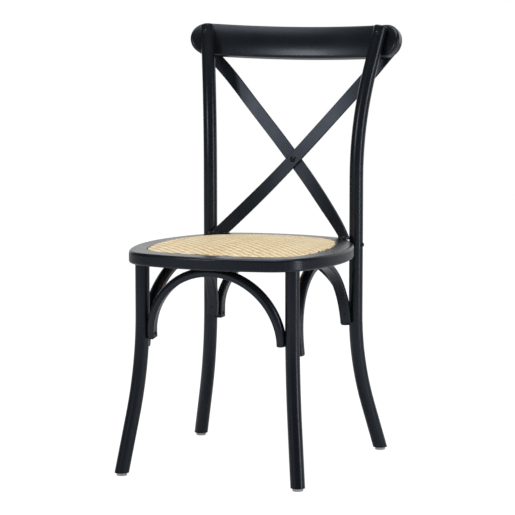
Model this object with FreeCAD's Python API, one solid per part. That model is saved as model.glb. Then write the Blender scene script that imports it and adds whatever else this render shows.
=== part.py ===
import FreeCAD, Part
import math
import os

from FreeCAD import Placement, Rotation, Vector

# Cross back dining chair: round bent legs and posts, a curved crest rail, two crossed back
# slats, a four-rail seat frame with a woven cane panel, and four arched braces under it.
# Millimetres, +Z up, the chair faces -Y. The pieces are built with Y = 0 on the line of the
# front legs, then moved together so that the origin is on the floor, midway front to back.

# Heights above the floor
glide_height = 6.0
seat_top = 449.0
seat_thickness = 25.0
post_top = 886.0

# Legs and posts, all bent from one round rod
rod_diameter = 28.6
front_leg_x = 160.0
rear_post_x = 164.1
leg_to_post = 352.5
rod_end_rounding = 3.5

# Bends of the rods: where each starts, its radius, and how far its end stands out (X, Y)
front_bend_start = 326.0
front_bend_radius = 900.0
front_foot_out = (28.2, -42.3)
rear_bend_start = 293.0
rear_bend_radius = 650.0
rear_foot_out = (41.3, 41.3)
upper_bend_start = 576.0
upper_bend_radius = 690.0
post_top_out = (31.4, 58.7)

# Round tenon at the top of each front leg
tenon_diameter = 22.0
tenon_length = 12.0
tenon_gap = 0.1

# Outline of the seat frame
front_overhang = 71.2
rear_overhang = 31.7
seat_half_width = 210.7
front_corner_in = (43.2, 28.0)
rear_corner_in = (31.8, 25.5)
front_corner_radius = 93.0
rear_corner_radius = 74.0
widest_behind_legs = 71.0
top_rounding = 5.5
under_rounding = 4.0
post_notch_gap = 0.1

# Opening for the cane panel, and the rebate that carries the seat board
front_band = 43.4
side_band = 33.7
rear_band = 39.0
opening_widest_behind_legs = 113.0
opening_front_corner_in = (22.0, 26.0)
opening_rear_corner_in = (42.0, 20.0)
opening_front_radius = 75.0
opening_rear_radius = 70.0
opening_chamfer = 1.2
ledge_width = 44.0
board_thickness = 9.0
board_gap = 1.0
board_below_top = 3.0

# Woven cane panel: flat underneath, gently crowned on top
cane_gap = 1.0
cane_edge_above_frame = 0.8
cane_crown = 6.5

# Joints between the four rails
front_rail_length = 104.0
rear_rail_length = 108.0
dowel_diameter = 8.0
dowel_length = 34.0
dowel_spacing = 17.0

# Arched braces, bent from one strip: flat inside, crowned outside
brace_thickness = 17.0
brace_width = 22.0
brace_crowning = 7.5
brace_rounding = 2.5
brace_end_chamfer = 2.0
brace_coping = 1.5
brace_flat = 0.6
front_brace_end = 274.0
front_brace_spring = 281.0
front_brace_shoulder = 126.5
front_brace_lean = 8.5
rear_brace_end = 267.0
rear_brace_spring = 287.0
rear_brace_shoulder = 118.5
side_brace_ends = (253.0, 283.0)
side_brace_spring = 274.0
side_brace_shoulder = 133.5
side_brace_lean = -5.2
side_brace_front_offset = 4.5
side_brace_rear_offset = -12.0
brace_screw_from_end = 10.0

# Crest rail behind the posts
crest_height = 68.0
crest_thickness = 29.0
crest_bulge = 5.0
crest_bend_radius = 900.0
crest_past_posts = 43.5
crest_below_post_top = 24.5
crest_screw_below_top = 17.5
crest_rounding = 6.0
crest_coping = 1.8

# Back slats: height, depth behind the front legs, and slope of the face across the slat
slat_width = 27.5
slat_thickness = 4.5
slat_edge_rounding = 1.4
slat_spread = 0.9
slat_cross_height = 604.5
slat_stations = ((449.0, 344.0, -0.75), (475.0, 363.0, -0.45), (506.0, 379.5, -0.1),
                 (560.0, 403.0, 0.2), (604.5, 415.0, 0.27), (646.0, 423.0, 0.2),
                 (726.0, 433.0, 0.1), (794.0, 439.0, 0.1))
slat_crest_heights = (830.0, 843.0)
slat_gap = 0.3
tab_length = 28.0
tab_width = 24.0
tab_turn = 20.0
tab_screw_from_end = 9.0
slat_top_screw_height = 833.0

# Fasteners: shank diameter, shank length, head diameter, head height
cross_bolt = (6.0, 13.0, 13.5, 4.0)
cross_nut = (11.0, 4.0)
slat_screw = (4.0, 18.0, 8.0, 2.4)
brace_screw = (4.0, 25.0, 8.5, 2.2)
crest_screw = (5.0, 42.0, 9.0, 2.6)
board_screw = (3.5, 15.0, 7.0, 1.8)
post_bolt = (6.0, 68.0, 10.0, 3.2)
head_sink = 1.0
head_turn = 30.0
barrel_nut = (10.0, 16.0)
barrel_nut_from_end = 7.0
post_bolt_above_underside = 12.5

# Glides under the feet, each held by a nail
glide_diameter = 21.0
glide_rounding = 1.5
nail_diameter = 2.5
nail_length = 16.0
nail_head = (6.0, 1.2)
nail_sink = 2.5

rod_radius = rod_diameter / 2
seat_under = seat_top - seat_thickness
seat_front = -front_overhang
seat_rear = leg_to_post + rear_overhang
board_top = seat_top - board_below_top
ledge_top = board_top - board_thickness
up = Vector(0, 0, 1)
down = Vector(0, 0, -1)
x_way = Vector(1, 0, 0)
y_way = Vector(0, 1, 0)
origin = Vector(0, 0, 0)


# Shared shapes

def cylinder(diameter, length, base, direction=up):
    return Part.makeCylinder(diameter / 2, length, base, direction)


def fastener(spec, seat, inward, sink=0.0):
    """A screw or bolt: a domed head seated at a place, let in by the sink, and its shank."""
    shank, length, head, head_height = spec
    ball = (head * head / 4 + head_height * head_height) / (2 * head_height)
    lean = math.asin(head / 2 / ball) / 2
    apex, rim = Vector(0, 0, -head_height), Vector(head / 2, 0, 0)
    mid = Vector(ball * math.sin(lean), 0, ball * (1 - math.cos(lean)) - head_height)
    corners = [Vector(head / 2, 0, sink), Vector(shank / 2, 0, sink),
               Vector(shank / 2, 0, length), Vector(0, 0, length), apex]
    if sink > 0:
        corners.insert(0, rim)
    outline = [Part.Arc(apex, mid, rim)]
    outline += [Part.LineSegment(p, q) for p, q in zip(corners, corners[1:])]
    face = Part.Face(Part.Wire([p.toShape() for p in outline]))
    turned = face.revolve(origin, up, 360)
    turned.Placement = Placement(seat, Rotation(up, inward) * Rotation(up, head_turn))
    return turned


def sunk(spec, surface, inward):
    """A fastener whose head is let a little way into a rounded surface."""
    return fastener(spec, surface, inward, head_sink)


def hole(spec, seat, inward):
    """The hole that a fastener's shank needs in a thin strip."""
    return cylinder(spec[0], spec[1], seat - inward, inward)


def mirrored(shape):
    return shape.mirror(origin, x_way)


def both_sides(shape):
    return [shape, mirrored(shape)]


def less(shape, tools):
    """The shape with each tool that comes near it cut away: what stays is one piece."""
    for tool in tools:
        if shape.BoundBox.intersect(tool.BoundBox):
            shape = max(shape.cut(tool).Solids, key=lambda piece: piece.Volume)
    return shape


def level_edges(shape, z):
    return [e for e in shape.Edges if abs(e.BoundBox.ZMin - z) < 0.01
            and abs(e.BoundBox.ZMax - z) < 0.01]


def swept(edges, section, sideways=None):
    pipe = Part.BRepOffsetAPI.MakePipeShell(Part.Wire(edges))
    if sideways is not None:
        pipe.setBiNormalMode(sideways)
    pipe.add(section)
    pipe.build()
    pipe.makeSolid()
    return pipe.shape()


# Legs and posts

class Bend:
    """The bent end of a rod: an arc that leaves the upright part, then a straight run."""

    def __init__(self, start, end_height, out, radius):
        self.start = start
        self.reach = math.hypot(*out)
        self.outward = Vector(out[0], out[1], 0) / self.reach
        self.along = up if end_height > start.z else down
        self.height = abs(end_height - start.z)
        self.radius = radius
        across = radius - self.reach
        slant = math.hypot(across, self.height)
        self.angle = math.asin(radius / slant) - math.atan2(across, self.height)

    def on_arc(self, angle):
        out = self.outward * (self.radius * (1 - math.cos(angle)))
        return self.start + out + self.along * (self.radius * math.sin(angle))

    def direction(self):
        return self.outward * math.sin(self.angle) + self.along * math.cos(self.angle)

    def end(self, past=0.0):
        tip = self.start + self.outward * self.reach + self.along * self.height
        return tip + self.direction() * past

    def at(self, z):
        """Centre of the rod at a height on this bend, or on the upright part before it."""
        climb = (z - self.start.z) * self.along.z
        if climb <= 0:
            return self.start + self.along * climb
        if climb < self.radius * math.sin(self.angle):
            return self.on_arc(math.asin(climb / self.radius))
        return self.end((climb - self.height) / math.cos(self.angle))

    def edges(self, past=0.0):
        arc = Part.Arc(self.start, self.on_arc(self.angle / 2), self.on_arc(self.angle))
        line = Part.LineSegment(self.on_arc(self.angle), self.end(past))
        return [arc.toShape(), line.toShape()]


front_bend = Bend(Vector(front_leg_x, 0, front_bend_start), glide_height, front_foot_out,
                  front_bend_radius)
rear_bend = Bend(Vector(rear_post_x, leg_to_post, rear_bend_start), glide_height,
                 rear_foot_out, rear_bend_radius)
upper_bend = Bend(Vector(rear_post_x, leg_to_post, upper_bend_start), post_top,
                  post_top_out, upper_bend_radius)


def rod(bend, upper_edges):
    """A rod swept from below the floor up, with its foot cut level on top of the glide."""
    foot = bend.edges(rod_diameter)
    tip = bend.end(rod_diameter)
    circle = Part.Wire(Part.Circle(tip, bend.direction(), rod_radius).toShape())
    shape = swept([foot[1], foot[0]] + upper_edges, circle)
    below = Part.makeBox(2000, 2000, 200, Vector(-1000, -1000, glide_height - 200))
    return shape.cut(below)


def front_leg():
    top = Vector(front_leg_x, 0, seat_under)
    straight = Part.LineSegment(front_bend.start, top).toShape()
    tenon = cylinder(tenon_diameter, tenon_length, top)
    return rod(front_bend, [straight]).fuse(tenon)


def rear_post():
    straight = Part.LineSegment(rear_bend.start, upper_bend.start).toShape()
    shape = rod(rear_bend, [straight] + upper_bend.edges())
    tip = upper_bend.end()
    rim = [e for e in shape.Edges if (e.BoundBox.Center - tip).Length < 1
           and e.BoundBox.DiagonalLength > rod_radius]
    return shape.makeFillet(rod_end_rounding, rim)


# Seat frame

def corner_centre(side, next_side, radius, corner):
    """Centre of the round of a corner, which touches both bowed sides from inside."""
    (centre, reach), (next_centre, next_reach) = side, next_side
    apart = next_centre - centre
    near, far = reach - radius, next_reach - radius
    along = (near ** 2 - far ** 2 + apart.Length ** 2) / (2 * apart.Length)
    way = Vector(apart).normalize()
    across = up.cross(way) * math.sqrt(near ** 2 - along ** 2)
    choices = [centre + way * along + across, centre + way * along - across]
    return min(choices, key=lambda place: (place - corner).Length)


def plate(front, rear, half, widest, front_corner, rear_corner, radii, bottom, top, inset):
    """A flat plate with four bowed sides and four round corners, smaller by the inset."""
    corners = [Vector(*front_corner, bottom), Vector(*rear_corner, bottom)]
    corners += [Vector(-c.x, c.y, bottom) for c in reversed(corners)]
    middles = [Vector(0, front, bottom), Vector(half, widest, bottom),
               Vector(0, rear, bottom), Vector(-half, widest, bottom)]
    sides = []
    for i, middle in enumerate(middles):
        circle = Part.Arc(corners[i - 1], middle, corners[i]).toShape().Curve
        sides.append((circle.Center, circle.Radius))
    rounds = []
    for i, corner in enumerate(corners):
        radius = radii[0] if i in (0, 3) else radii[1]
        centre = corner_centre(sides[i], sides[(i + 1) % 4], radius, corner)
        rounds.append((centre, radius))

    def touch(side, corner_round):
        return side[0] + (corner_round[0] - side[0]).normalize() * (side[1] - inset)

    def bow(circle, start, end):
        middle = circle[0] + ((start + end) / 2 - circle[0]).normalize() * (circle[1] - inset)
        return Part.Arc(start, middle, end).toShape()

    edges = []
    for i, side in enumerate(sides):
        start, end = touch(side, rounds[i - 1]), touch(side, rounds[i])
        edges.append(bow(side, start, end))
        edges.append(bow(rounds[i], end, touch(sides[(i + 1) % 4], rounds[i])))
    return Part.Face(Part.Wire(edges)).extrude(up * (top - bottom))


def seat_plate(bottom, top):
    front_corner = (seat_half_width - front_corner_in[0], seat_front + front_corner_in[1])
    rear_corner = (rear_post_x - rear_corner_in[0], seat_rear - rear_corner_in[1])
    return plate(seat_front, seat_rear, seat_half_width, widest_behind_legs, front_corner,
                 rear_corner, (front_corner_radius, rear_corner_radius), bottom, top, 0.0)


def opening_plate(bottom, top, inset=0.0):
    """What fills the frame's opening between two heights, smaller all round by the inset."""
    front = seat_front + front_band
    rear = seat_rear - rear_band
    half = seat_half_width - side_band
    front_corner = (half - opening_front_corner_in[0], front + opening_front_corner_in[1])
    rear_corner = (rear_post_x - opening_rear_corner_in[0], rear - opening_rear_corner_in[1])
    return plate(front, rear, half, opening_widest_behind_legs, front_corner, rear_corner,
                 (opening_front_radius, opening_rear_radius), bottom, top, inset)


def frame_ring():
    ring = seat_plate(seat_under, seat_top)
    ring = ring.makeFillet(top_rounding, level_edges(ring, seat_top))
    ring = ring.makeFillet(under_rounding, level_edges(ring, seat_under))
    well = opening_plate(ledge_top, seat_top + 1)
    way_through = opening_plate(seat_under - 1, seat_top + 1, ledge_width)
    ring = less(ring, [well, way_through])
    around = well.BoundBox
    around.enlarge(0.1)
    rim = [e for e in level_edges(ring, seat_top) if around.isInside(e.BoundBox)]
    ring = ring.makeChamfer(opening_chamfer, rim)
    socket = cylinder(tenon_diameter + 2 * tenon_gap, tenon_length + tenon_gap,
                      Vector(front_leg_x, 0, seat_under))
    notch = cylinder(rod_diameter + 2 * post_notch_gap, seat_thickness + 2,
                     Vector(rear_post_x, leg_to_post, seat_under - 1))
    return less(ring, both_sides(socket) + both_sides(notch))


front_cut = seat_front + front_rail_length
rear_cut = seat_rear - rear_rail_length


def between(y_low, y_high):
    return Part.makeBox(2000, y_high - y_low, 200, Vector(-1000, y_low, seat_under - 50))


def rail_middle_x(y):
    """Middle of the side rail at a joint, measured on the outline and the opening."""
    line = Part.makeLine(Vector(0, y, 0), Vector(1000, y, 0))
    outer = seat_plate(-1, 1).common(line).BoundBox.XMax
    inner = opening_plate(-1, 1, ledge_width).common(line).BoundBox.XMax
    return (outer + inner) / 2


def frame_dowels():
    """Two dowels across each of the four joints."""
    height = (seat_under + ledge_top) / 2
    pins = []
    for cut in (front_cut, rear_cut):
        middle = rail_middle_x(cut)
        for side in (-1, 1):
            place = Vector(middle + side * dowel_spacing / 2, cut - dowel_length / 2, height)
            pins += both_sides(cylinder(dowel_diameter, dowel_length, place, y_way))
    return pins


def woven_cane():
    edge = seat_top + cane_edge_above_frame
    blank = opening_plate(board_top, edge + cane_crown, cane_gap)
    box = blank.BoundBox
    reach = box.YLength / 2
    ball = (reach * reach + cane_crown * cane_crown) / (2 * cane_crown)
    centre = Vector(0, (box.YMin + box.YMax) / 2, edge + cane_crown - ball)
    return blank.common(Part.makeSphere(ball, centre))


def board_screws():
    """Screws up through the ledge into the board, clear of the braces."""
    inset = ledge_width / 2
    front = seat_front + front_band + inset
    rear = seat_rear - rear_band - inset
    half = seat_half_width - side_band - inset
    middle = leg_to_post / 2
    screws = []
    for x, y in ((70, front + 3), (half, middle - 60), (60, rear - 3)):
        screws += both_sides(fastener(board_screw, Vector(x, y, seat_under), up))
    return screws


# Arched braces

dome_radius = ((brace_width / 2) ** 2 + brace_crowning ** 2) / (2 * brace_crowning)


def limb_clearance(offset):
    """From a rod's axis to the middle of a limb coped against it, for a sideways offset."""
    reach = rod_radius + dome_radius - brace_coping
    return math.sqrt(reach * reach - offset * offset) - dome_radius + brace_thickness / 2


def brace_section(foot):
    """The strip's section at the left foot: flat side towards +X, crown towards -X."""
    a = brace_thickness / 2
    b = brace_width / 2
    r = brace_rounding
    shoulder = brace_crowning - a
    nick = r * (1 - math.sqrt(0.5))

    def at(x, y):
        return foot + Vector(x, y, 0)

    pieces = [Part.LineSegment(at(a, r - b), at(a, b - r)),
              Part.Arc(at(a, b - r), at(a - nick, b - nick), at(a - r, b)),
              Part.LineSegment(at(a - r, b), at(shoulder, b)),
              Part.Arc(at(shoulder, b), at(-a, 0), at(shoulder, -b)),
              Part.LineSegment(at(shoulder, -b), at(a - r, -b)),
              Part.Arc(at(a - r, -b), at(a - nick, nick - b), at(a, r - b))]
    return Part.Wire([p.toShape() for p in pieces])


class Brace:
    """An arch between two feet: upright limbs, tight shoulders and a flatter crown."""

    def __init__(self, left_foot, right_foot, ends, spring, shoulder, lean=0.0):
        run = right_foot - left_foot
        self.half = run.Length / 2
        self.ends = ends
        self.spring = spring
        self.shoulder = shoulder
        base = Vector(0, 0, min(ends))
        rise = (seat_under + brace_flat - min(ends)) / math.cos(math.radians(lean))
        self.crown = min(ends) + rise - brace_thickness / 2
        turn = Rotation(x_way, run)
        tip = Placement(base, Rotation(x_way, lean)) * Placement(base * -1, Rotation())
        self.place = Placement((left_foot + right_foot) / 2, turn) * tip

    def path(self):
        rise = self.crown - self.spring
        r = self.shoulder
        big = (rise ** 2 + self.half ** 2 - 2 * self.half * r) / (2 * (rise - r))
        meet = math.atan2(self.half - r, big - rise)

        def on_shoulder(side, angle):
            across = self.half - r + r * math.sin(angle)
            return Vector(side * across, 0, self.spring + r * math.cos(angle))

        upright = math.pi / 2
        halfway = (upright + meet) / 2
        left, right = self.ends
        return [Part.LineSegment(Vector(-self.half, 0, left), on_shoulder(-1, upright)),
                Part.Arc(on_shoulder(-1, upright), on_shoulder(-1, halfway),
                         on_shoulder(-1, meet)),
                Part.Arc(on_shoulder(-1, meet), Vector(0, 0, self.crown),
                         on_shoulder(1, meet)),
                Part.Arc(on_shoulder(1, meet), on_shoulder(1, halfway),
                         on_shoulder(1, upright)),
                Part.LineSegment(on_shoulder(1, upright), Vector(self.half, 0, right))]

    def put(self, shape):
        shape.Placement = self.place * shape.Placement
        return shape

    def solid(self):
        foot = Vector(-self.half, 0, self.ends[0])
        arch = swept([p.toShape() for p in self.path()], brace_section(foot), y_way)
        tips = level_edges(arch, self.ends[0])
        if self.ends[1] != self.ends[0]:
            tips += level_edges(arch, self.ends[1])
        arch = self.put(arch.makeChamfer(brace_end_chamfer, tips))
        above = Part.makeBox(2000, 2000, 200, Vector(-1000, -1000, seat_under))
        return arch.cut(above)

    def inner_face(self, side):
        height = self.ends[0] if side < 0 else self.ends[1]
        across = side * (self.half - brace_thickness / 2)
        return self.place.multVec(Vector(across, 0, height + brace_screw_from_end))

    def end_screw(self, side):
        outward = self.place.Rotation.multVec(x_way * side)
        return sunk(brace_screw, self.inner_face(side), outward)

    def end_screw_towards(self, side, rod_centre):
        """A slanting screw, for a limb that stands beside the middle of its rod."""
        place = self.inner_face(side)
        aim = Vector(rod_centre.x - place.x, rod_centre.y - place.y, 0).normalize()
        return sunk(brace_screw, place, aim)

    def crown_screw(self):
        place = self.place.multVec(Vector(0, 0, self.crown - brace_thickness / 2))
        return sunk(brace_screw, place, up)


def front_brace_plan():
    leg = front_bend.at(front_brace_end)
    x = leg.x - limb_clearance(0)
    return Brace(Vector(-x, leg.y, 0), Vector(x, leg.y, 0),
                 (front_brace_end, front_brace_end), front_brace_spring,
                 front_brace_shoulder, front_brace_lean)


def rear_brace_plan():
    post = rear_bend.at(rear_brace_end)
    x = post.x - limb_clearance(0)
    return Brace(Vector(-x, post.y, 0), Vector(x, post.y, 0),
                 (rear_brace_end, rear_brace_end), rear_brace_spring, rear_brace_shoulder)


def side_brace_plan():
    leg = front_bend.at(side_brace_ends[0])
    post = rear_bend.at(side_brace_ends[1])
    near = Vector(leg.x + side_brace_front_offset,
                  leg.y + limb_clearance(side_brace_front_offset), 0)
    far = Vector(post.x + side_brace_rear_offset,
                 post.y - limb_clearance(side_brace_rear_offset), 0)
    return Brace(near, far, side_brace_ends, side_brace_spring, side_brace_shoulder,
                 side_brace_lean)


# Crest rail

class Crest:
    """The crest rail lies against the backs of the posts and leans back with them."""

    def __init__(self):
        run = upper_bend.direction()
        self.lean = math.atan2(run.y, run.z)
        self.upward = Vector(0, math.sin(self.lean), math.cos(self.lean))
        self.back = Vector(0, math.cos(self.lean), -math.sin(self.lean))
        post = upper_bend.at(post_top - crest_below_post_top)
        self.half = post.x + crest_past_posts
        sagitta = crest_bend_radius - math.sqrt(crest_bend_radius ** 2 - post.x ** 2)
        self.front = Vector(0, post.y, post.z) \
            + self.back * (rod_radius - crest_coping + sagitta)

    def solid(self):
        board = self.section_turned().common(self.elevation())
        board = board.makeFillet(crest_rounding, board.Edges)
        board.rotate(origin, x_way, -math.degrees(self.lean))
        board.translate(self.front)
        return board

    def section_turned(self):
        """The rail's section, turned about the upright axis of its bend."""
        half = crest_height / 2 + 1
        low, high = Vector(0, crest_bulge, -half), Vector(0, crest_bulge, half)
        back_low, back_high = Vector(0, crest_thickness, -half), Vector(0, crest_thickness, half)
        outline = [Part.Arc(low, origin, high), Part.LineSegment(high, back_high),
                   Part.LineSegment(back_high, back_low), Part.LineSegment(back_low, low)]
        face = Part.Face(Part.Wire([p.toShape() for p in outline]))
        axis = Vector(0, -crest_bend_radius, 0)
        sweep = 2 * math.degrees(math.asin(self.half / crest_bend_radius)) + 4
        face.rotate(axis, up, -sweep / 2)
        return face.revolve(axis, up, sweep)

    def elevation(self):
        """Straight top and bottom edges and half-round ends."""
        r = crest_height / 2
        x = self.half - r
        y = -crest_bend_radius / 2
        outline = [Part.LineSegment(Vector(-x, y, r), Vector(x, y, r)),
                   Part.Arc(Vector(x, y, r), Vector(x + r, y, 0), Vector(x, y, -r)),
                   Part.LineSegment(Vector(x, y, -r), Vector(-x, y, -r)),
                   Part.Arc(Vector(-x, y, -r), Vector(-x - r, y, 0), Vector(-x, y, r))]
        face = Part.Face(Part.Wire([p.toShape() for p in outline]))
        return face.extrude(y_way * crest_bend_radius)

    def back_depth(self, x, z):
        """Depth of the rail's back at a place given by X and height."""
        out = math.sqrt((crest_bend_radius + crest_thickness) ** 2 - x * x) \
            - crest_bend_radius
        climb = (z - self.front.z - self.back.z * out) / self.upward.z
        return self.front.y + self.back.y * out + self.upward.y * climb


crest = Crest()


def crest_screws():
    post = upper_bend.at(post_top - crest_screw_below_top)
    surface = post - crest.back * rod_radius
    return both_sides(sunk(crest_screw, surface, crest.back))


# Back slats

def slat_stands(shift):
    """Places up the face of the slat that rises to the right, with its way across at each."""
    stands = []
    for height, depth, slope in slat_stations:
        across = Vector(1, -slope * slat_spread, -slat_spread).normalize()
        push = 0.0 if height == seat_top else shift
        place = Vector(slat_spread * (height - slat_cross_height), depth + push, height)
        stands.append((place, across))
    for height in slat_crest_heights:
        ends = []
        for side in (-1, 1):
            place = Vector(slat_spread * (height - slat_cross_height), 0, height)
            place += Vector(1, 0, -slat_spread).normalize() * (side * slat_width / 2)
            ends.append(place + y_way * (crest.back_depth(place.x, place.z) + slat_gap))
        stands.append(((ends[0] + ends[1]) / 2, (ends[1] - ends[0]).normalize()))
    below = (stands[0][0] * 2 - stands[1][0], stands[0][1])
    return [below] + stands


def rounded_section(centre, thin_way, wide_way, thick, wide, radius):
    """Outline of a strip's section: a rectangle with rounded corners."""
    a = thick / 2
    b = wide / 2
    nick = radius * (1 - math.sqrt(0.5))

    def at(x, y):
        return centre + thin_way * x + wide_way * y

    pieces = []
    for sx, sy in ((1, 1), (-1, 1), (-1, -1), (1, -1)):
        on_side = at(sx * a, sy * (b - radius))
        on_end = at(sx * (a - radius), sy * b)
        first, last = (on_side, on_end) if sx * sy > 0 else (on_end, on_side)
        pieces.append(Part.Arc(first, at(sx * (a - nick), sy * (b - nick)), last))
    outline = []
    for i, arc in enumerate(pieces):
        outline += [arc, Part.LineSegment(arc.EndPoint, pieces[(i + 1) % 4].StartPoint)]
    return Part.Wire([p.toShape() for p in outline])


def slat_tab():
    """Flat foot on top of the seat frame, on the left, turned out towards the side rail."""
    foot_x = slat_spread * (seat_top - slat_cross_height)
    start = Vector(foot_x, slat_stations[0][1], seat_top)
    turn = math.radians(tab_turn)
    run = Vector(-math.sin(turn), -math.cos(turn), 0)
    side = Vector(math.cos(turn), -math.sin(turn), 0) * (tab_width / 2)
    far = start + run * (tab_length - tab_width / 2)
    tip = far + run * (tab_width / 2)
    outline = [Part.LineSegment(start + side, far + side),
               Part.Arc(far + side, tip, far - side),
               Part.LineSegment(far - side, start - side),
               Part.LineSegment(start - side, start + side)]
    face = Part.Face(Part.Wire([p.toShape() for p in outline]))
    return face.extrude(up * slat_thickness), tip - run * tab_screw_from_end


def slat(shift):
    """A thin twisted strip, cut level on the seat, with its flat foot."""
    stands = slat_stands(shift)
    sections = []
    for i, (place, across) in enumerate(stands):
        run = stands[min(i + 1, len(stands) - 1)][0] - stands[max(i - 1, 0)][0]
        back = run.cross(across).normalize()
        sections.append(rounded_section(place + back * (slat_thickness / 2), back, across,
                                        slat_thickness, slat_width, slat_edge_rounding))
    strip = Part.makeLoft(sections, True)
    below = Part.makeBox(2000, 2000, 400, Vector(-1000, -500, seat_top - 400))
    return strip.cut(below).fuse(slat_tab()[0])


def crossing_place():
    """Middle of the crossing on the face between the slats, and the way in from the front."""
    depth, slope = [(d, m) for h, d, m in slat_stations if h == slat_cross_height][0]
    inward = Vector(0, 1, -slope).normalize()
    return Vector(0, depth, slat_cross_height) + inward * (slat_thickness / 2), inward


def slat_cross_nut():
    between_slats, inward = crossing_place()
    seat = between_slats + inward * (slat_thickness + slat_gap)
    nut = cylinder(cross_nut[0], cross_nut[1], seat, inward)
    return nut.cut(cylinder(cross_bolt[0], cross_bolt[1], seat - inward, inward))


def slat_fixings(shape_of):
    """The crossing bolt, and for the slat that rises to the right its top and foot screws."""
    between_slats, inward = crossing_place()
    head = between_slats - inward * (slat_thickness + slat_gap)
    height = slat_top_screw_height
    x = slat_spread * (height - slat_cross_height)
    turn = math.asin(x / (crest_bend_radius + crest_thickness))
    outward = x_way * math.sin(turn) + crest.back * math.cos(turn)
    top = Vector(x, crest.back_depth(x, height), height)
    top += outward * (slat_thickness + 2 * slat_gap)
    foot = slat_tab()[1] + up * slat_thickness
    return (shape_of(cross_bolt, head, inward), shape_of(slat_screw, top, outward * -1),
            shape_of(slat_screw, foot, down))


# Bolts of the posts, and glides

def post_bolt_parts():
    """A bolt through the post from its outer side, and its barrel nut in the rear rail."""
    height = seat_under + post_bolt_above_underside
    surface = Vector(rear_post_x + rod_radius, leg_to_post, height)
    bolt = sunk(post_bolt, surface, x_way * -1)
    barrel_x = surface.x - post_bolt[1] + barrel_nut_from_end
    barrel = cylinder(barrel_nut[0], barrel_nut[1], Vector(barrel_x, leg_to_post, seat_under + 3))
    return bolt, barrel


def glide(bend):
    foot = bend.end()
    pad = cylinder(glide_diameter, glide_height, Vector(foot.x, foot.y, 0))
    return pad.makeFillet(glide_rounding, level_edges(pad, 0.0))


def glide_nail(bend):
    foot = Vector(bend.end().x, bend.end().y, nail_sink)
    return cylinder(nail_head[0], nail_head[1], foot).fuse(
        cylinder(nail_diameter, nail_length, foot)).removeSplitter()


# Assembly

def right_and_left(name, shape):
    return {"right_" + name: shape, "left_" + name: mirrored(shape)}


def build():
    """Every node by name, each cut for what passes through it or lies against it."""
    front_arch, rear_arch, side_arch = front_brace_plan(), rear_brace_plan(), side_brace_plan()
    post = rear_bend.at(side_brace_ends[1])
    front_ends = [front_arch.end_screw(-1), front_arch.end_screw(1)]
    rear_ends = [rear_arch.end_screw(-1), rear_arch.end_screw(1)]
    side_ends = [side_arch.end_screw(-1), side_arch.end_screw_towards(1, post)]
    end_screws = front_ends + rear_ends + [s for e in side_ends for s in both_sides(e)]
    top_screws = [front_arch.crown_screw(), rear_arch.crown_screw()]
    top_screws += both_sides(side_arch.crown_screw())
    crest_fixings = crest_screws()
    cross, slat_top, slat_foot = slat_fixings(fastener)
    slat_tops, slat_feet = both_sides(slat_top), both_sides(slat_foot)
    slat_holes = slat_fixings(hole)
    bolt, barrel = post_bolt_parts()
    barrel = barrel.cut(bolt)
    under_board = board_screws()
    dowels = frame_dowels()

    leg_blank, post_blank = front_leg(), rear_post()
    leg = less(leg_blank, end_screws + [glide_nail(front_bend)])
    post = less(post_blank, end_screws + [glide_nail(rear_bend), bolt] + crest_fixings)
    rods = both_sides(leg_blank) + both_sides(post_blank)

    front_brace = less(front_arch.solid(), rods + end_screws + top_screws)
    rear_brace = less(rear_arch.solid(), rods + end_screws + top_screws)
    side_brace = less(side_arch.solid(), rods + end_screws + top_screws)

    in_frame = dowels + under_board + top_screws + slat_feet
    in_frame += both_sides(bolt) + both_sides(barrel)
    ring = less(frame_ring(), in_frame)
    side_rails = ring.common(between(front_cut, rear_cut)).Solids
    side_rails.sort(key=lambda rail: rail.BoundBox.Center.x)

    posts = both_sides(post_blank)
    front_slat = less(slat(-slat_thickness / 2), list(slat_holes) + posts)
    rear_slat = less(mirrored(slat(slat_thickness / 2)),
                     [mirrored(h) for h in slat_holes[1:]] + [slat_holes[0], front_slat] + posts)
    crest_rail = less(crest.solid(), posts + crest_fixings + slat_tops + [front_slat, rear_slat])

    nodes = {
        "seat_front_rail": ring.common(between(seat_front - 50, front_cut)),
        "seat_rear_rail": ring.common(between(rear_cut, seat_rear + 50)),
        "seat_frame_dowels": Part.Compound(dowels),
        "seat_board": less(opening_plate(ledge_top, board_top, board_gap), under_board),
        "seat_board_screws": Part.Compound(under_board),
        "woven_cane": woven_cane(),
        "crest_rail": crest_rail,
        "crest_screws": Part.Compound(crest_fixings),
        "front_back_slat": front_slat,
        "rear_back_slat": rear_slat,
        "slat_cross_bolt": cross,
        "slat_cross_nut": slat_cross_nut(),
        "slat_top_screws": Part.Compound(slat_tops),
        "slat_foot_screws": Part.Compound(slat_feet),
        "front_brace": front_brace,
        "rear_brace": rear_brace,
        "brace_end_screws": Part.Compound(end_screws),
        "brace_top_screws": Part.Compound(top_screws),
        "post_bolts": Part.Compound(both_sides(bolt)),
        "post_barrel_nuts": Part.Compound(both_sides(barrel)),
    }
    nodes.update(right_and_left("front_leg", leg))
    nodes.update(right_and_left("rear_post", post))
    nodes["left_seat_rail"], nodes["right_seat_rail"] = side_rails
    nodes.update(right_and_left("brace", side_brace))
    nails = []
    for name, bend in (("front_glide", front_bend), ("rear_glide", rear_bend)):
        nail = glide_nail(bend)
        nodes.update(right_and_left(name, glide(bend).cut(nail)))
        nails += both_sides(nail)
    nodes["glide_nails"] = Part.Compound(nails)
    return nodes


def centred(nodes):
    """The same nodes, moved so that the origin lies midway between front and back."""
    lowest = min(s.optimalBoundingBox().YMin for s in nodes.values())
    highest = max(s.optimalBoundingBox().YMax for s in nodes.values())
    move = y_way * (-(lowest + highest) / 2)
    return {name: Part.Compound([s.translated(move) for s in shape.Solids])
            for name, shape in nodes.items()}


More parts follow.
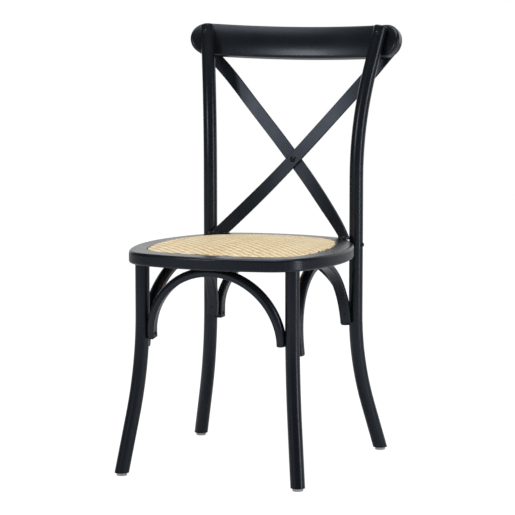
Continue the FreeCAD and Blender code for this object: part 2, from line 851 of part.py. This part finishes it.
if __name__ == "__main__":
    os.makedirs("parts", exist_ok=True)
    for name, shape in centred(build()).items():
        shape.exportStep("parts/" + name + ".step")
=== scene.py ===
import math

import bpy
import numpy as np
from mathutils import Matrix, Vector, geometry


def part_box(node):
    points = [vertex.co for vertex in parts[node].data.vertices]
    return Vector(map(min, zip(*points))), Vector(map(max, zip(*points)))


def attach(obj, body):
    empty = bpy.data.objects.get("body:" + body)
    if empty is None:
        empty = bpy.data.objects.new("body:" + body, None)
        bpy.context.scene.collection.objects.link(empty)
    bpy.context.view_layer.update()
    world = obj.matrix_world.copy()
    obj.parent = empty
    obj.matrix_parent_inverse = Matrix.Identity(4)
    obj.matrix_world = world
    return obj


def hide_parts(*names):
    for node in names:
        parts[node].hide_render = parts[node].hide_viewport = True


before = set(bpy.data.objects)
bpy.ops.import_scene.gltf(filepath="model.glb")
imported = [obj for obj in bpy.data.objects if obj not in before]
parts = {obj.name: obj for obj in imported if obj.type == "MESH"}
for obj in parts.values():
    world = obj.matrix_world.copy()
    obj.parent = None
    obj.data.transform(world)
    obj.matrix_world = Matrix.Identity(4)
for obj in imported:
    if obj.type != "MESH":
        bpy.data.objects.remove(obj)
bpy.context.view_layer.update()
bpy.context.scene.view_settings.view_transform = "Standard"

# The view: a long lens 4.7 metres away, to the right of the front and a little above the top
# of the back. It looks slightly down, so that the seat shows as a thin ellipse.
camera_place = (1.7642, -4.3232, 0.9884)
lens_length = 161.18
view_turn = 22.137
view_rise = 6.954
bpy.ops.object.select_all(action="DESELECT")
bpy.ops.object.camera_add(location=camera_place,
                          rotation=(math.radians(90 - view_rise), 0, math.radians(view_turn)))
camera = bpy.context.object
camera.data.sensor_width = 36.0
camera.data.lens = lens_length
camera.data.clip_end = 100.0
bpy.context.scene.camera = camera


# Studio sweep: a wide pale floor and a pale wall well behind the chair. Both look white to the
# lens and in the gloss of the paint, and the floor keeps a faint shadow under the feet.
floor_side = 24.0
floor_glow = 1.22
floor_shade = 0.22
wall_width, wall_height = 14.0, 5.0
wall_across, wall_behind = -1.0, 5.0


def linear(hex_colour):
    """A colour written as sRGB hex, turned to the linear values that the shaders take."""
    levels = [int(hex_colour[i:i + 2], 16) / 255 for i in (1, 3, 5)]
    return [v / 12.92 if v <= 0.04045 else ((v + 0.055) / 1.055) ** 2.4 for v in levels] + [1]


def add(tree, kind, settings=(), links=()):
    """Adds one node, sets its values and sockets, and joins its inputs to other outputs."""
    made = tree.nodes.new(kind)
    for key, value in dict(settings).items():
        if isinstance(key, str) and hasattr(made, key):
            setattr(made, key, value)
        else:
            made.inputs[key].default_value = value
    for key, source in dict(links).items():
        tree.links.new(source, made.inputs[key])
    return made


def new_material(name):
    """An empty material, and the tree of nodes it is made of."""
    material = bpy.data.materials.new(name)
    material.use_nodes = True
    material.node_tree.nodes.clear()
    return material, material.node_tree


def seen_directly(tree):
    """1 for what the lens or a glossy or clear surface sees, 0 for light that falls on things."""
    path = add(tree, "ShaderNodeLightPath")
    both = add(tree, "ShaderNodeMath", {"operation": "MAXIMUM"},
               {0: path.outputs["Is Camera Ray"], 1: path.outputs["Is Glossy Ray"]})
    return add(tree, "ShaderNodeMath", {"operation": "MAXIMUM"},
               {0: both.outputs[0], 1: path.outputs["Is Transmission Ray"]}).outputs[0]


sweep_paint, tree = new_material("sweep_paper_white")
paper_light = add(tree, "ShaderNodeEmission", {"Color": linear("#FFFFFF"), "Strength": floor_glow})
paper = add(tree, "ShaderNodeBsdfDiffuse", {"Color": linear("#E4E4E4")})
seen_paper = add(tree, "ShaderNodeMixShader", {0: floor_shade},
                 {1: paper_light.outputs[0], 2: paper.outputs[0]})
path = add(tree, "ShaderNodeLightPath")
mixed = add(tree, "ShaderNodeMixShader", {},
            {0: path.outputs["Is Camera Ray"], 1: paper.outputs[0], 2: seen_paper.outputs[0]})
add(tree, "ShaderNodeOutputMaterial", {}, {"Surface": mixed.outputs[0]})

wall_paint, tree = new_material("back_wall_white")
wall_light = add(tree, "ShaderNodeEmission", {"Color": linear("#FFFFFF"), "Strength": 1.0})
wall_matt = add(tree, "ShaderNodeBsdfDiffuse", {"Color": linear("#E4E4E4")})
mixed = add(tree, "ShaderNodeMixShader", {},
            {0: seen_directly(tree), 1: wall_matt.outputs[0], 2: wall_light.outputs[0]})
add(tree, "ShaderNodeOutputMaterial", {}, {"Surface": mixed.outputs[0]})

bpy.ops.object.select_all(action="DESELECT")
bpy.ops.mesh.primitive_plane_add(size=floor_side, location=(0, 0, 0))
sweep_floor = bpy.context.object
sweep_floor.name = "sweep_floor"
sweep_floor.data.materials.append(sweep_paint)
bpy.ops.object.select_all(action="DESELECT")
bpy.ops.mesh.primitive_plane_add(size=1.0, location=(0, 0, 0))
back_wall = bpy.context.object
back_wall.name = "back_wall"
bpy.ops.object.mode_set(mode="EDIT")
bpy.ops.mesh.select_all(action="SELECT")
bpy.ops.transform.resize(value=(wall_width, wall_height, 1.0))
bpy.ops.transform.rotate(value=math.radians(90), orient_axis="X", center_override=(0, 0, 0))
bpy.ops.transform.translate(value=(wall_across, wall_behind, wall_height / 2))
bpy.ops.object.mode_set(mode="OBJECT")
back_wall.data.materials.append(wall_paint)

world = bpy.data.worlds.new("studio_air")
bpy.context.scene.world = world
world.use_nodes = True
world.node_tree.nodes.clear()
tree = world.node_tree
path = add(tree, "ShaderNodeLightPath")
room_light = add(tree, "ShaderNodeBackground", {"Color": linear("#F4F6FA"), "Strength": 0.42})
room_gloss = add(tree, "ShaderNodeBackground", {"Color": linear("#F4F6FA"), "Strength": 0.10})
white_air = add(tree, "ShaderNodeBackground", {"Color": linear("#FFFFFF"), "Strength": 1.0})
not_seen = add(tree, "ShaderNodeMixShader", {},
               {0: path.outputs["Is Glossy Ray"], 1: room_light.outputs[0],
                2: room_gloss.outputs[0]})
mixed = add(tree, "ShaderNodeMixShader", {},
            {0: path.outputs["Is Camera Ray"], 1: not_seen.outputs[0], 2: white_air.outputs[0]})
add(tree, "ShaderNodeOutputWorld", {}, {"Surface": mixed.outputs[0]})


# Soft lamps: a large one overhead, one at the left front, which draws the soft patch on the
# crest rail and greys the slats, and a tall one at the right, which draws a line down each post.
def softbox(name, turn, rise, distance, width, height, power, aim=Vector((0, 0, 0.6))):
    """A flat lamp, turned and raised by degrees from the front, that faces the chair's middle."""
    turn, rise = math.radians(turn), math.radians(rise)
    away = Vector((math.sin(turn) * math.cos(rise), -math.cos(turn) * math.cos(rise),
                   math.sin(rise)))
    bpy.ops.object.select_all(action="DESELECT")
    bpy.ops.object.light_add(type="AREA", location=aim + away * distance)
    lamp = bpy.context.object
    lamp.name = name
    lamp.rotation_mode = "QUATERNION"
    lamp.rotation_quaternion = away.to_track_quat("Z", "Y")
    lamp.data.shape = "RECTANGLE"
    lamp.data.size = width
    lamp.data.size_y = height
    lamp.data.energy = power
    return lamp


softbox("lamp_overhead", 0, 82, 2.9, 2.8, 2.8, 80)
softbox("lamp_left_front", -25, 12, 3.2, 0.5, 0.55, 16)
softbox("lamp_right", 84, 4, 2.6, 0.5, 1.5, 16)

# Legs, posts, seat frame, crest rail and arched braces: beech, steam bent or sawn, then
# sprayed with satin black lacquer. The lacquer is thin, so a trace of the grain and the fine
# orange peel of the spray show in its gloss, and its colour is a slightly blue black.
lacquer, tree = new_material("satin_black_lacquer_on_beech")
place = add(tree, "ShaderNodeTexCoord")
cloud = add(tree, "ShaderNodeTexNoise", {"Scale": 14.0, "Detail": 3.0},
            {"Vector": place.outputs["Object"]})
tint = add(tree, "ShaderNodeMix", {"data_type": "RGBA", 6: linear("#0D1014"),
                                   7: linear("#13171B")}, {0: cloud.outputs[0]})
# Spray peel, about 2.5 mm from crest to crest, and grain lines about 1 mm apart.
peel = add(tree, "ShaderNodeTexNoise", {"Scale": 400.0, "Detail": 1.0, "Roughness": 0.4},
           {"Vector": place.outputs["Object"]})
along = add(tree, "ShaderNodeMapping", {"Scale": (900.0, 900.0, 45.0)},
            {"Vector": place.outputs["Object"]})
grain = add(tree, "ShaderNodeTexNoise", {"Scale": 1.0, "Detail": 2.0},
            {"Vector": along.outputs[0]})
gloss = add(tree, "ShaderNodeMapRange", {"To Min": 0.24, "To Max": 0.32},
            {"Value": cloud.outputs[0]})
peel_bump = add(tree, "ShaderNodeBump", {"Strength": 0.12, "Distance": 0.0004},
                {"Height": peel.outputs[0]})
grain_bump = add(tree, "ShaderNodeBump", {"Strength": 0.06, "Distance": 0.0003},
                 {"Height": grain.outputs[0], "Normal": peel_bump.outputs[0]})
coat = add(tree, "ShaderNodeBsdfPrincipled",
           {"IOR": 1.5, "Specular Tint": linear("#E4EEFF"), "Specular IOR Level": 0.4},
           {"Base Color": tint.outputs[2], "Roughness": gloss.outputs[0],
            "Normal": grain_bump.outputs[0]})
add(tree, "ShaderNodeOutputMaterial", {}, {"Surface": coat.outputs[0]})


def finish(material, *names):
    """Gives CAD nodes their finish, and leaves their shape alone."""
    for name in names:
        if not parts[name].material_slots:
            parts[name].data.materials.append(material)
        for slot in parts[name].material_slots:
            slot.material = material


finish(lacquer, "right_front_leg", "left_front_leg", "right_rear_post", "left_rear_post",
       "seat_front_rail", "seat_rear_rail", "right_seat_rail", "left_seat_rail", "crest_rail",
       "front_brace", "rear_brace", "right_brace", "left_brace")

# Back slats: two flat steel straps, rolled with rounded edges and powder coated in black. The
# powder leaves a finer, flatter satin than the lacquer, which greys where it faces the lamp.
powder, tree = new_material("black_powder_coat_on_steel")
place = add(tree, "ShaderNodeTexCoord")
flow = add(tree, "ShaderNodeTexNoise", {"Scale": 30.0, "Detail": 2.0},
           {"Vector": place.outputs["Object"]})
tint = add(tree, "ShaderNodeMix", {"data_type": "RGBA", 6: linear("#12161A"),
                                   7: linear("#181C21")}, {0: flow.outputs[0]})
# Powder texture, about 1 mm across.
pebble = add(tree, "ShaderNodeTexNoise", {"Scale": 950.0, "Detail": 2.0},
             {"Vector": place.outputs["Object"]})
gloss = add(tree, "ShaderNodeMapRange", {"To Min": 0.32, "To Max": 0.38},
            {"Value": flow.outputs[0]})
pebble_bump = add(tree, "ShaderNodeBump", {"Strength": 0.12, "Distance": 0.0002},
                  {"Height": pebble.outputs[0]})
coat = add(tree, "ShaderNodeBsdfPrincipled", {"IOR": 1.5, "Specular Tint": linear("#DCE8FF")},
           {"Base Color": tint.outputs[2], "Roughness": gloss.outputs[0],
            "Normal": pebble_bump.outputs[0]})
add(tree, "ShaderNodeOutputMaterial", {}, {"Surface": coat.outputs[0]})
finish(powder, "front_back_slat", "rear_back_slat")

# Screws and bolts that show: steel with a black oxide finish, domed heads. The oxide is darker
# and a little glossier than the paint, with a faint rub on it.
oxide, tree = new_material("black_oxide_steel")
place = add(tree, "ShaderNodeTexCoord")
rub = add(tree, "ShaderNodeTexNoise", {"Scale": 700.0, "Detail": 2.0},
          {"Vector": place.outputs["Object"]})
tint = add(tree, "ShaderNodeMix", {"data_type": "RGBA", 6: linear("#121416"),
                                   7: linear("#24272A")}, {0: rub.outputs[0]})
gloss = add(tree, "ShaderNodeMapRange", {"To Min": 0.28, "To Max": 0.42},
            {"Value": rub.outputs[0]})
coat = add(tree, "ShaderNodeBsdfPrincipled", {"Metallic": 0.6},
           {"Base Color": tint.outputs[2], "Roughness": gloss.outputs[0]})
add(tree, "ShaderNodeOutputMaterial", {}, {"Surface": coat.outputs[0]})
finish(oxide, "slat_cross_bolt", "slat_cross_nut", "slat_top_screws", "slat_foot_screws",
       "crest_screws", "brace_end_screws", "brace_top_screws", "post_bolts")

# Hidden steel: nails, barrel nuts and the screws of the seat board, plain drawn steel with
# fine scratches along the wire.
steel, tree = new_material("plain_drawn_steel")
place = add(tree, "ShaderNodeTexCoord")
along = add(tree, "ShaderNodeMapping", {"Scale": (3000.0, 3000.0, 150.0)},
            {"Vector": place.outputs["Object"]})
scratch = add(tree, "ShaderNodeTexNoise", {"Scale": 1.0, "Detail": 2.0},
              {"Vector": along.outputs[0]})
tint = add(tree, "ShaderNodeMix", {"data_type": "RGBA", 6: linear("#8E9093"),
                                   7: linear("#B4B6B8")}, {0: scratch.outputs[0]})
gloss = add(tree, "ShaderNodeMapRange", {"To Min": 0.28, "To Max": 0.45},
            {"Value": scratch.outputs[0]})
bare = add(tree, "ShaderNodeBsdfPrincipled", {"Metallic": 1.0},
           {"Base Color": tint.outputs[2], "Roughness": gloss.outputs[0]})
add(tree, "ShaderNodeOutputMaterial", {}, {"Surface": bare.outputs[0]})
finish(steel, "seat_board_screws", "post_barrel_nuts", "glide_nails")

# Bare wood: the birch ply board under the cane and the beech dowels in the frame's joints.
# Sawn and sanded, with long grain lines about 2 mm apart.
birch, tree = new_material("bare_birch")
place = add(tree, "ShaderNodeTexCoord")
along = add(tree, "ShaderNodeMapping", {"Scale": (450.0, 22.0, 450.0)},
            {"Vector": place.outputs["Object"]})
grain = add(tree, "ShaderNodeTexNoise", {"Scale": 1.0, "Detail": 4.0, "Distortion": 0.3},
            {"Vector": along.outputs[0]})
tint = add(tree, "ShaderNodeMix", {"data_type": "RGBA", 6: linear("#A98459"),
                                   7: linear("#CFAE80")}, {0: grain.outputs[0]})
grain_bump = add(tree, "ShaderNodeBump", {"Strength": 0.2, "Distance": 0.0002},
                 {"Height": grain.outputs[0]})
bare = add(tree, "ShaderNodeBsdfPrincipled", {"Roughness": 0.62},
           {"Base Color": tint.outputs[2], "Normal": grain_bump.outputs[0]})
add(tree, "ShaderNodeOutputMaterial", {}, {"Surface": bare.outputs[0]})
finish(birch, "seat_board", "seat_frame_dowels")

# Glides: moulded nylon pads, pale grey, nailed under the feet. Slightly cloudy and soft in
# gloss, as nylon is, with scuffs low down.
nylon, tree = new_material("moulded_pale_nylon")
place = add(tree, "ShaderNodeTexCoord")
scuff = add(tree, "ShaderNodeTexNoise", {"Scale": 500.0, "Detail": 3.0},
            {"Vector": place.outputs["Object"]})
tint = add(tree, "ShaderNodeMix", {"data_type": "RGBA", 6: linear("#A9ACAE"),
                                   7: linear("#C9CBCC")}, {0: scuff.outputs[0]})
scuff_bump = add(tree, "ShaderNodeBump", {"Strength": 0.1, "Distance": 0.0002},
                 {"Height": scuff.outputs[0]})
pad = add(tree, "ShaderNodeBsdfPrincipled", {"Roughness": 0.5, "IOR": 1.53},
          {"Base Color": tint.outputs[2], "Normal": scuff_bump.outputs[0]})
add(tree, "ShaderNodeOutputMaterial", {}, {"Surface": pad.outputs[0]})
finish(nylon, "right_front_glide", "left_front_glide", "right_rear_glide", "left_rear_glide")

# Seat panel: natural rattan, split into flat strips and woven two over, two under, so that
# the steps run in diagonal lines. It is stretched over the board and tucked down into the
# frame all round. Strips too fine to count in the photo are drawn at 5 mm, so that they show.
strip_pitch = 0.0050
strip_width = 0.0048
weave_lift = 0.00038
strip_crown = 0.00018
strip_unevenness = 0.00008
width_spread = (0.94, 1.03)
fibre_shift, fibre_side_shift = 0.137, 0.031
tuck_width = 0.0035
tuck_depth = 0.0030
panel_crown = 0.0065
shortest_edge = 0.00002

cane_low, cane_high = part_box("woven_cane")
points = [Vector((v.co.x, v.co.y)) for v in parts["woven_cane"].data.vertices]
rim = np.array([points[i] for i in geometry.convex_hull_2d(points)])
rim_next = np.roll(rim, -1, axis=0)
middle_y = (cane_low.y + cane_high.y) / 2
reach = (cane_high.y - cane_low.y) / 2
ball = (reach ** 2 + panel_crown ** 2) / (2 * panel_crown)


def chord(axis, value):
    """Where a line across the panel, at a place along an axis, enters and leaves its outline."""
    a, b = rim[:, axis], rim_next[:, axis]
    crossing = (a - value) * (b - value) < 0
    share = (value - a[crossing]) / (b[crossing] - a[crossing])
    other = rim[crossing, 1 - axis]
    across = other + share * (rim_next[crossing, 1 - axis] - other)
    return (across.min(), across.max()) if len(across) > 1 else None


def over_and_under(step):
    """1 where a strip lies on top and -1 where it lies below: two steps each, in turn."""
    return np.clip(1.5 * np.cos(math.pi / 2 * (step - 0.5)), -1, 1)


def strip_counts(axis):
    """The numbers of the strips that fit side by side along an axis."""
    low, high = rim[:, axis].min(), rim[:, axis].max()
    return range(math.floor(low / strip_pitch), math.ceil(high / strip_pitch))


bpy.ops.object.select_all(action="DESELECT")
half_steps = 2 * max(len(strip_counts(0)), len(strip_counts(1)))
bpy.ops.mesh.primitive_grid_add(x_subdivisions=half_steps, y_subdivisions=2, size=1.0)
bpy.ops.object.shade_smooth()
model_strip = bpy.context.object
model_strip.name = "cane_strip_model"
flat = np.array([v.co for v in model_strip.data.vertices])
run_steps = np.round((flat[:, 0] + 0.5) * half_steps)
side_place = np.round(flat[:, 1] * 2)
corner_of = np.zeros(len(model_strip.data.loops), dtype=int)
model_strip.data.loops.foreach_get("vertex_index", corner_of)

rng = np.random.default_rng(11)
strips = []
for axis in (0, 1):
    for count in strip_counts(1 - axis):
        centre = (count + 0.5) * strip_pitch
        inside = chord(1 - axis, centre)
        if inside is None:
            continue
        first = math.floor(inside[0] / strip_pitch) * strip_pitch
        run = first + run_steps * strip_pitch / 2
        side = centre + side_place * strip_width / 2 * rng.uniform(*width_spread)
        limits = {}
        for value in np.unique(side):
            limits[value] = chord(1 - axis, value) or (np.mean(inside), np.mean(inside))
        low = np.array([limits[value][0] for value in side])
        high = np.array([limits[value][1] for value in side])
        run = np.clip(run, low, high)
        near_rim = np.minimum(run - low, high - run)
        step = run / strip_pitch - 0.5 + count
        lift = weave_lift * over_and_under(step) * (1 if axis == 0 else -1)
        x, y = (run, side) if axis == 0 else (side, run)
        height = cane_high.z - (x ** 2 + (y - middle_y) ** 2) / (2 * ball)
        height += lift + strip_crown * (1 - np.abs(side_place))
        height += rng.uniform(-1, 1) * strip_unevenness
        rim_gap = np.clip(1 - near_rim / tuck_width, 0, 1)
        height -= tuck_depth * rim_gap ** 2
        mesh = model_strip.data.copy()
        mesh.vertices.foreach_set("co", np.column_stack((x, y, height)).ravel())
        across = side_place * strip_width / 2
        lengthwise = np.column_stack((run + count * fibre_shift,
                                      across + count * fibre_side_shift))
        mesh.uv_layers[0].data.foreach_set("uv", lengthwise[corner_of].ravel())
        tone = mesh.attributes.new("strip_tone", "FLOAT", "POINT")
        tone.data.foreach_set("value", np.full(len(run), rng.uniform(0, 1)))
        strip = bpy.data.objects.new("cane_strip", mesh)
        bpy.context.scene.collection.objects.link(strip)
        strips.append(strip)
bpy.data.objects.remove(model_strip)
bpy.ops.object.select_all(action="DESELECT")
for strip in strips:
    strip.select_set(True)
bpy.context.view_layer.objects.active = strips[0]
bpy.ops.object.join()
cane_panel = bpy.context.object
cane_panel.name = "cane_weave"
bpy.ops.object.mode_set(mode="EDIT")
bpy.ops.mesh.select_all(action="SELECT")
bpy.ops.mesh.dissolve_degenerate(threshold=shortest_edge)
bpy.ops.object.mode_set(mode="OBJECT")

rattan, tree = new_material("split_natural_rattan")
layout = add(tree, "ShaderNodeTexCoord")
tone = add(tree, "ShaderNodeAttribute", {"attribute_name": "strip_tone"})
# Fibres, about 0.4 mm apart and 17 mm long, along each strip. Strips differ a little in tone.
along = add(tree, "ShaderNodeMapping", {"Scale": (60.0, 2500.0, 1.0)},
            {"Vector": layout.outputs["UV"]})
fibre = add(tree, "ShaderNodeTexNoise", {"Scale": 1.0, "Detail": 2.0},
            {"Vector": along.outputs[0]})
pale = add(tree, "ShaderNodeMix", {"data_type": "RGBA", 6: linear("#ECCE9C"),
                                   7: linear("#FFEEC4")}, {0: tone.outputs["Fac"]})
fibred = add(tree, "ShaderNodeMix", {"data_type": "RGBA", "blend_type": "MULTIPLY", 0: 0.16},
             {6: pale.outputs[2], 7: fibre.outputs[0]})
# Brown flecks of the cane's bark, a few millimetres long.
spots = add(tree, "ShaderNodeMapping", {"Scale": (110.0, 420.0, 1.0)},
            {"Vector": layout.outputs["UV"]})
speck = add(tree, "ShaderNodeTexNoise", {"Scale": 1.0, "Detail": 1.0},
            {"Vector": spots.outputs[0]})
speckled = add(tree, "ShaderNodeMapRange", {"From Min": 0.68, "From Max": 0.74},
               {"Value": speck.outputs[0]})
tint = add(tree, "ShaderNodeMix", {"data_type": "RGBA", 7: linear("#9A7A55")},
           {0: speckled.outputs[0], 6: fibred.outputs[2]})
fibre_bump = add(tree, "ShaderNodeBump", {"Strength": 0.3, "Distance": 0.0002},
                 {"Height": fibre.outputs[0]})
cane = add(tree, "ShaderNodeBsdfPrincipled", {"Roughness": 0.5, "IOR": 1.5},
           {"Base Color": tint.outputs[2], "Normal": fibre_bump.outputs[0]})
add(tree, "ShaderNodeOutputMaterial", {}, {"Surface": cane.outputs[0]})
cane_panel.data.materials.append(rattan)
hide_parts("woven_cane")
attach(cane_panel, "root")
